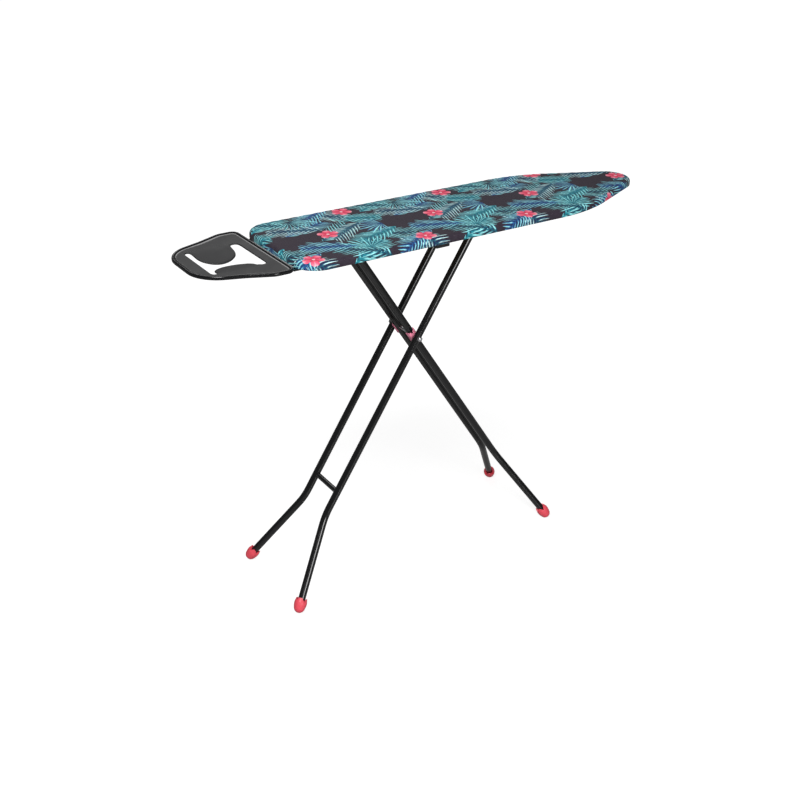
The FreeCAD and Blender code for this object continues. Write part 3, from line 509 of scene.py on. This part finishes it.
def printed_cotton():
    made, graph, shader = material(
        "printed_cotton", Sheen_Weight=0.04, Sheen_Roughness=0.5, Specular_IOR_Level=0.25
    )
    cloth = graph.node("ShaderNodeUVMap", uv_map="cloth").outputs[0]
    weave = graph.place(WEAVE, Place=cloth, Thread=0.0005)
    wavy = graph.noise(cloth, 40, 2)
    place = graph.vector_math("ADD", cloth, graph.vector_math(
        "SCALE", graph.join(wavy, graph.noise(graph.vector_math("ADD", cloth, (3, 5, 0)), 40, 2)),
        scale=0.004))
    inked = print_colour(graph, place)
    deep = graph.node("ShaderNodeGamma")
    deep.inputs["Gamma"].default_value = 1.3
    graph.feed(deep.inputs["Color"], inked)
    faded = graph.mix(
        graph.ramp(weave["Slub"], 0.3, 0.8, 0.0, 0.05), deep.outputs[0], srgb(205, 205, 210))
    graph.feed(shader.inputs["Base Color"], faded)
    graph.feed(shader.inputs["Roughness"], graph.ramp(weave["Slub"], 0.3, 0.7, 0.68, 0.84))
    graph.feed(shader.inputs["Normal"], graph.bump(weave["Height"], 0.00012, 0.7))
    return made


# ---- the board's outline and ring meshes -------------------------------------------------------


def outline():
    """Points round the board with their outward directions, from the middle of the wide end."""
    end_x = COVER_LOW.x
    flank_y = HALF_WIDTH - FLANK_R
    nose_x = SIDE_END_X + (flank_y * math.cos(TAPER) + FLANK_R - NOSE_R) / math.sin(TAPER)
    corner = Vector((end_x + CORNER_R, HALF_WIDTH - CORNER_R, 0))
    arcs = [  # centre, radius, first and last direction in degrees; the far side, wide end to nose
        (corner, CORNER_R, 180, 90, 16),
        (Vector((SIDE_END_X, flank_y, 0)), FLANK_R, 90, 90 - math.degrees(TAPER), 26),
        (Vector((nose_x, 0, 0)), NOSE_R, 90 - math.degrees(TAPER), 0, 18),
    ]
    far = [(Vector((end_x, corner.y * k / 14, 0)), Vector((-1, 0, 0))) for k in range(1, 14)]
    for centre, radius, first, last, steps in arcs:
        start = math.radians(first)
        here = centre + radius * Vector((math.cos(start), math.sin(start), 0))
        if len(far) > 13:
            gap = (here - far[-1][0]).length
            count = round(gap / 0.009)
            begin, way = far[-1]
            far += [(begin.lerp(here, k / count), way) for k in range(1, count)]
        for k in range(steps + 1):
            turn = math.radians(first + (last - first) * k / steps)
            way = Vector((math.cos(turn), math.sin(turn), 0))
            far.append((centre + radius * way, way))
    flip = Vector((1, -1, 1))
    near = [(point * flip, way * flip) for point, way in reversed(far[:-1])]
    middle = [(Vector((end_x, 0, 0)), Vector((-1, 0, 0)))]
    return middle + far + near


OUTLINE = outline()


def ring_mesh(name, rings, uvs, closed=False):
    """A mesh from rings of equally many points, joined by quads, with a map for the finish.

    A closed one joins its last ring to its first.
    """
    mesh = bpy.data.meshes.new(name)
    count = len(rings[0])
    faces = [
        (r * count + k, r * count + (k + 1) % count, (r + 1) * count + (k + 1) % count,
         (r + 1) * count + k)
        for r in range(len(rings) - 1) for k in range(count)
    ]
    if closed:
        last = (len(rings) - 1) * count
        faces += [(last + k, last + (k + 1) % count, (k + 1) % count, k) for k in range(count)]
    mesh.from_pydata([p for ring in rings for p in ring], [], faces)
    flat = [p for ring in uvs for p in ring]
    layer = mesh.uv_layers.new(name="cloth")
    for corner in mesh.loops:
        layer.data[corner.index].uv = flat[corner.vertex_index][:2]
    made = bpy.data.objects.new(name, mesh)
    bpy.context.scene.collection.objects.link(made)
    work = bmesh.new()
    work.from_mesh(mesh)
    bmesh.ops.remove_doubles(work, verts=work.verts, dist=0.00002)
    bmesh.ops.recalc_face_normals(work, faces=work.faces)
    for face in work.faces:
        face.smooth = True
    work.to_mesh(mesh)
    work.free()
    return made


def modify(piece, kind, **settings):
    modifier = piece.modifiers.new(kind.lower(), kind)
    for name, value in settings.items():
        setattr(modifier, name, value)


def spine(point):
    """The point of the board's middle line that an outline point is drawn towards."""
    return Vector((min(max(point.x, COVER_LOW.x + 0.11), COVER_HIGH.x - 0.16), 0, 0))


def board_shell(name, inset, edge_r, top, bottom, turn_in, wrinkle=0.0):
    """The skin over a board-shaped body: flat top, rolled edge, side, and a turned-in hem."""
    rings, flats = [], []
    rim = inset + edge_r
    for share in (0.0, 0.2, 0.4, 0.58, 0.74, 0.87, 0.95, 1.0):
        ring, flat = [], []
        for point, way in OUTLINE:
            edge = point - way * rim
            centre = spine(point)
            place = centre.lerp(edge, share)
            lift = 0.0
            if wrinkle:
                lift = wrinkle * (noise.noise(place * 9.0) - 0.5) * share * (1 - share * 0.5)
            ring.append(place + Vector((0, 0, top + lift)))
            flat.append(place)
        rings.append(ring)
        flats.append(flat)
    profile = []
    for k in range(1, 7):
        turn = math.radians(15 * k)
        profile.append((rim - edge_r * math.sin(turn), top - edge_r * (1 - math.cos(turn)),
                        edge_r * turn))
    low_r = 0.0025
    down = top - edge_r - (bottom + low_r)
    for share in (0.35, 0.7, 1.0):
        profile.append((inset, top - edge_r - down * share, edge_r * math.pi / 2 + down * share))
    passed = edge_r * math.pi / 2 + down
    for k in (1, 2, 3):
        turn = math.radians(30 * k)
        profile.append((inset + low_r * (1 - math.cos(turn)),
                        bottom + low_r * (1 - math.sin(turn)), passed + low_r * turn))
    passed += low_r * math.pi / 2
    for k in range(1, 6):
        reach = turn_in * k / 5
        profile.append((inset + low_r + reach, bottom, passed + reach))
    for depth, height, walked in profile:
        ring, flat = [], []
        for index, (point, way) in enumerate(OUTLINE):
            place = point - way * depth
            gather = 0.0
            if wrinkle and depth > inset + low_r:
                gather = -0.0008 * (0.5 + 0.5 * math.sin(index * 1.9 + 0.6 * math.sin(index * 0.37)))
            ring.append(place + Vector((0, 0, height + gather)))
            flat.append(point + way * (walked - rim))
        rings.append(ring)
        flats.append(flat)
    return ring_mesh(name, rings, flats)


# ---- studio ------------------------------------------------------------------------------------


FLOOR_REACH = 12
FLOOR_GLOW, WORLD_GLOW = 0.1, 0.11  # as the object sees them; the camera sees them near white
# name, place, size and power of each lamp
LAMPS = [
    ("key", (-1.9, -1.6, 3.4), 1.4, 104),
    ("fill", (-0.2, -3.6, 1.5), 1.6, 58),
    ("back", (0.9, 3.0, 3.0), 1.6, 18),
]
LAMPS_AIM = Vector((0, 0, 0.6))


def viewpoint():
    camera = bpy.data.objects.new("camera", bpy.data.cameras.new("camera"))
    bpy.context.scene.collection.objects.link(camera)
    camera.location = (-1.52506, -2.24879, 1.82132)
    turn, down = math.radians(32.75), math.radians(27.367)
    camera.rotation_euler = (math.pi / 2 - down, 0, -turn)
    camera.data.sensor_width = 36
    camera.data.lens = 51.34
    bpy.context.scene.camera = camera


def paper_floor():
    """A white floor, a little darker under the object, so that it takes a faint shadow."""
    floor_mesh = bpy.data.meshes.new("floor")
    signs = [(-1, -1), (1, -1), (1, 1), (-1, 1)]
    floor_mesh.from_pydata(
        [(x * FLOOR_REACH, y * FLOOR_REACH, 0) for x, y in signs], [], [(0, 1, 2, 3)])
    floor = bpy.data.objects.new("floor", floor_mesh)
    bpy.context.scene.collection.objects.link(floor)
    paper, graph, shader = material(
        "white_paper", Base_Color=(0.25, 0.25, 0.25, 1), Roughness=0.3,
        Emission_Color=(1, 1, 1, 1),
    )
    seen = graph.node("ShaderNodeLightPath").outputs["Is Camera Ray"]
    across = graph.split(object_place(graph))
    away = graph.math("ADD", graph.math("POWER", across[0], 2.0), graph.math("POWER", across[1], 2.0))
    glow = graph.ramp(away, 0.2, 1.2, 0.86, 1.0)
    lit = graph.math("MULTIPLY", seen, graph.math("SUBTRACT", glow, FLOOR_GLOW))
    graph.feed(shader.inputs["Emission Strength"], graph.math("ADD", lit, FLOOR_GLOW))
    floor_mesh.materials.append(paper)


def soft_light():
    world = bpy.data.worlds.new("studio")
    world.use_nodes = True
    graph = Graph(world.node_tree)
    back = world.node_tree.nodes["Background"]
    seen = graph.node("ShaderNodeLightPath").outputs["Is Camera Ray"]
    back.inputs["Color"].default_value = (1, 1, 1, 1)
    graph.feed(back.inputs["Strength"], graph.ramp(seen, 0.0, 1.0, WORLD_GLOW, 1.0))
    bpy.context.scene.world = world
    for name, place, size, power in LAMPS:
        light = bpy.data.objects.new(name, bpy.data.lights.new(name, "AREA"))
        light.data.shape = "DISK"
        light.data.size = size
        light.data.energy = power
        light.location = place
        light.rotation_euler = (LAMPS_AIM - Vector(place)).to_track_quat("-Z", "Y").to_euler()
        bpy.context.scene.collection.objects.link(light)
    bpy.context.scene.view_settings.view_transform = "Standard"


# ---- pieces ------------------------------------------------------------------------------------


COTTON_THICK = 0.0007
COVER_EDGE_R, COVER_WRINKLE = 0.0095, 0.0012
HEM_DROP, HEM_TURN_IN = 0.020, 0.027  # the cover's edge as it runs down, and then in underneath
FOAM_INSET, FOAM_EDGE_R, FOAM_TURN_IN, FOAM_CLEAR = 0.0018, 0.0058, 0.1, 0.0002


def soft_board():
    cover = board_shell(
        "printed_cover", 0.0, COVER_EDGE_R, COVER_HIGH.z, COVER_LOW.z, HEM_TURN_IN, COVER_WRINKLE)
    modify(cover, "SOLIDIFY", thickness=COTTON_THICK, offset=-1)
    cover.data.materials.append(printed_cotton())
    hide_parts("cover")
    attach(cover, "board")
    pad = board_shell(
        "foam_pad_body", FOAM_INSET, FOAM_EDGE_R, FOAM_HIGH.z - FOAM_INSET,
        FOAM_LOW.z + FOAM_CLEAR, FOAM_TURN_IN)
    foam = plastic("foam_felt", (0.62, 0.58, 0.5), 0.9, 0.002, 0.0004)
    pad.data.materials.append(foam)
    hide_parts("foam_pad")
    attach(pad, "board")


# ---- the iron tray -----------------------------------------------------------------------------

# half of the opening in mm, from the middle of its outer side round to the middle of its inner
# side; the run between FIRST_TONGUE and LAST_TONGUE is the edge of one tongue
OPENING = [
    (-612.5, 0), (-612.5, 30), (-612.5, 60), (-612.2, 71), (-609.5, 77.5), (-605, 79.5),
    (-600, 77.5), (-596.5, 72), (-595, 62), (-593, 48), (-587.5, 34), (-577.5, 22.5), (-565, 14),
    (-549, 10), (-531, 13), (-516, 21.5), (-504.5, 33), (-499.5, 47), (-499.8, 60), (-500, 68),
    (-497, 74.5), (-491, 78), (-484.5, 77), (-479.5, 71.5), (-478, 60), (-478, 30),
]
# where each of those points looks out to on the tray's edge
LOOKS_AT = [
    (-653.5, 0), (-653.5, 30), (-652, 58), (-645, 78), (-634, 95), (-621, 105), (-608, 109),
    (-597, 113), (-588, 116), (-580, 119), (-572, 122), (-564, 124), (-555, 128), (-545, 132),
    (-535, 137), (-526, 141), (-517, 145), (-508, 149), (-500, 152), (-492, 154), (-485, 154),
    (-478, 154), (-470, 154), (-458, 151), (-447, 138), (-446, 80),
]
FIRST_TONGUE, LAST_TONGUE = 7, 19
TRAY_CORNERS = [(-653.5, 93, 84), (-556, 127, 200), (-496, 154, 40), (-446, 154, 20)]
TONGUE_SLOPE = math.tan(math.radians(12))
TRAY_HEIGHT = 9 * MM
RIM_WIDTH, RIM_HEIGHT, RIM_FALL = 10, 6.1, 0.8
TONGUE_BEND_Y, TONGUE_BEND = 88, 17  # where a tongue starts to fall, and how far its bend runs
TRAY_THICK = 3.1
# depth from the outer edge and height of each ring over the rolled edge, in mm
BEAD = [
    (8.5, 0.6), (6.5, 0), (3.0, 0), (1.2, 0.5), (0.2, 1.8), (0, 3.5), (0, 5.5), (0.4, 7.3),
    (1.5, 8.6), (3.0, 9.0), (4.6, 8.7), (5.8, 8.0), (6.8, 7.1), (8.2, 6.4), (10.0, 6.1),
]


def mirrored(half):
    """A half loop on +Y, completed clockwise with its reflection."""
    back = [(x, -y) for x, y in reversed(half) if y > 0]
    return half + back


def tray_edge():
    """The tray's outer edge as many points, with rounded corners."""
    corners = [Vector((x, y)) for x, y, _ in TRAY_CORNERS]
    corners += [Vector((x, -y)) for x, y, _ in reversed(TRAY_CORNERS)]
    radii = [r for _, _, r in TRAY_CORNERS] + [r for _, _, r in reversed(TRAY_CORNERS)]
    points = []
    count = len(corners)
    for index, (corner, radius) in enumerate(zip(corners, radii)):
        back = (corners[index - 1] - corner).normalized()
        ahead = (corners[(index + 1) % count] - corner).normalized()
        half = back.angle(ahead) / 2
        start = corner + back * radius / math.tan(half)
        end = corner + ahead * radius / math.tan(half)
        centre = corner + (back + ahead).normalized() * radius / math.sin(half)
        for step in range(17):
            away = (start - centre).lerp(end - centre, step / 16).normalized()
            points.append(centre + away * radius)
        next_corner, next_radius = corners[(index + 1) % count], radii[(index + 1) % count]
        after = (corners[(index + 2) % count] - next_corner).normalized()
        next_half = ((corner - next_corner).normalized()).angle(after) / 2
        stop = next_corner - ahead * next_radius / math.tan(next_half)
        points += [end.lerp(stop, share / 12) for share in range(1, 12)]
    return points


def smooth_loop(keys, steps):
    """A closed curve through the keys."""
    points = []
    count = len(keys)
    for index in range(count):
        a, b, c, d = (Vector(keys[(index + k) % count]) for k in (-1, 0, 1, 2))
        for step in range(steps):
            t = step / steps
            points.append(0.5 * (
                2 * b + (c - a) * t + (2 * a - 5 * b + 4 * c - d) * t * t
                + (3 * b - a - 3 * c + d) * t * t * t
            ))
    return points


def nearest_on(edge, targets):
    """For each target its nearest point of the edge, and the direction inwards there."""
    outer, inward = [], []
    for target in targets:
        near = min(range(len(edge)), key=lambda k: (edge[k] - target).length_squared)
        best, way = None, None
        for first, second in ((near - 1, near), (near, (near + 1) % len(edge))):
            run = edge[second] - edge[first]
            if run.length < 1e-6:
                continue
            share = min(1, max(0, (target - edge[first]).dot(run) / run.length_squared))
            place = edge[first] + run * share
            if best is None or (place - target).length < (best - target).length:
                best, way = place, run.normalized()
        outer.append(best)
        inward.append(Vector((way.y, -way.x)))
    return outer, inward


def tray():
    steps = 4
    opening = smooth_loop(mirrored(OPENING), steps)
    outer, inward = nearest_on(tray_edge(), smooth_loop(mirrored(LOOKS_AT), steps))
    half = len(OPENING)
    tongue = []
    for index in range(len(opening)):
        key = index / steps
        key = min(key, 2 * half - 1 - key) if key > half else key
        tongue.append(min(1, max(0, key - FIRST_TONGUE + 1)) * min(1, max(0, LAST_TONGUE + 1 - key)))

    bottom = TRAY_TOP - TRAY_HEIGHT
    rings = []
    for depth, height in BEAD:
        rings.append([
            Vector(((p.x + n.x * depth) * MM, (p.y + n.y * depth) * MM, bottom + height * MM))
            for p, n in zip(outer, inward)
        ])

    def floor(share, under):
        ring = []
        for p, n, q, slopes in zip(outer, inward, opening, tongue):
            place = (p + n * RIM_WIDTH).lerp(q, share)
            past = max(0.0, TONGUE_BEND_Y - abs(place.y))
            fall = past - TONGUE_BEND / 2
            if past < TONGUE_BEND:
                fall = past * past / (2 * TONGUE_BEND)
            rise = RIM_HEIGHT - RIM_FALL * share - fall * TONGUE_SLOPE * slopes
            height = bottom + rise * MM
            ring.append(Vector((place.x * MM, place.y * MM, height - under * MM)))
        return ring

    shares = (0.08, 0.2, 0.34, 0.48, 0.6, 0.7, 0.79, 0.87, 0.94, 0.985)
    rings += [floor(share, 0) for share in shares]
    rings += [floor(1.0, 0.7), floor(1.0, 2.4)]
    rings += [floor(share, TRAY_THICK) for share in reversed(shares)]
    heights = [0.0] * len(BEAD) + [1.0] * (len(rings) - len(BEAD))
    uvs = [[Vector((k / len(opening), high)) for k in range(len(opening))] for high in heights]
    made = ring_mesh("iron_tray_body", rings, uvs, closed=True)
    made.data.materials.append(FINISHES["tray_plastic"])
    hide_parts("iron_tray")
    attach(made, "board")


FINISHES = {
    "black_enamel": enamel(),
    "bright_zinc": zinc(),
    "chipboard": chipboard(),
    "coral_plastic": plastic("coral_moulding", (0.86, 0.085, 0.12), 0.42, tint=0.08),
    "pink_plastic": plastic("pink_moulding", (0.88, 0.29, 0.42), 0.4, tint=0.08),
    "black_plastic": plastic("black_moulding", (0.014, 0.014, 0.015), 0.45),
    "tray_plastic": tray_plastic(),
    "nylon": plastic("natural_nylon", (0.66, 0.65, 0.6), 0.5),
}


def finish_nodes():
    slots = {part["node"]: part["material_slot"] for part in frame["record"]["subparts"]}
    for name, piece in NODES.items():
        finish = FINISHES.get(slots[name])
        if finish:
            for index in range(len(piece.material_slots)):
                piece.material_slots[index].material = finish


viewpoint()
paper_floor()
soft_light()
soft_board()
tray()
finish_nodes()
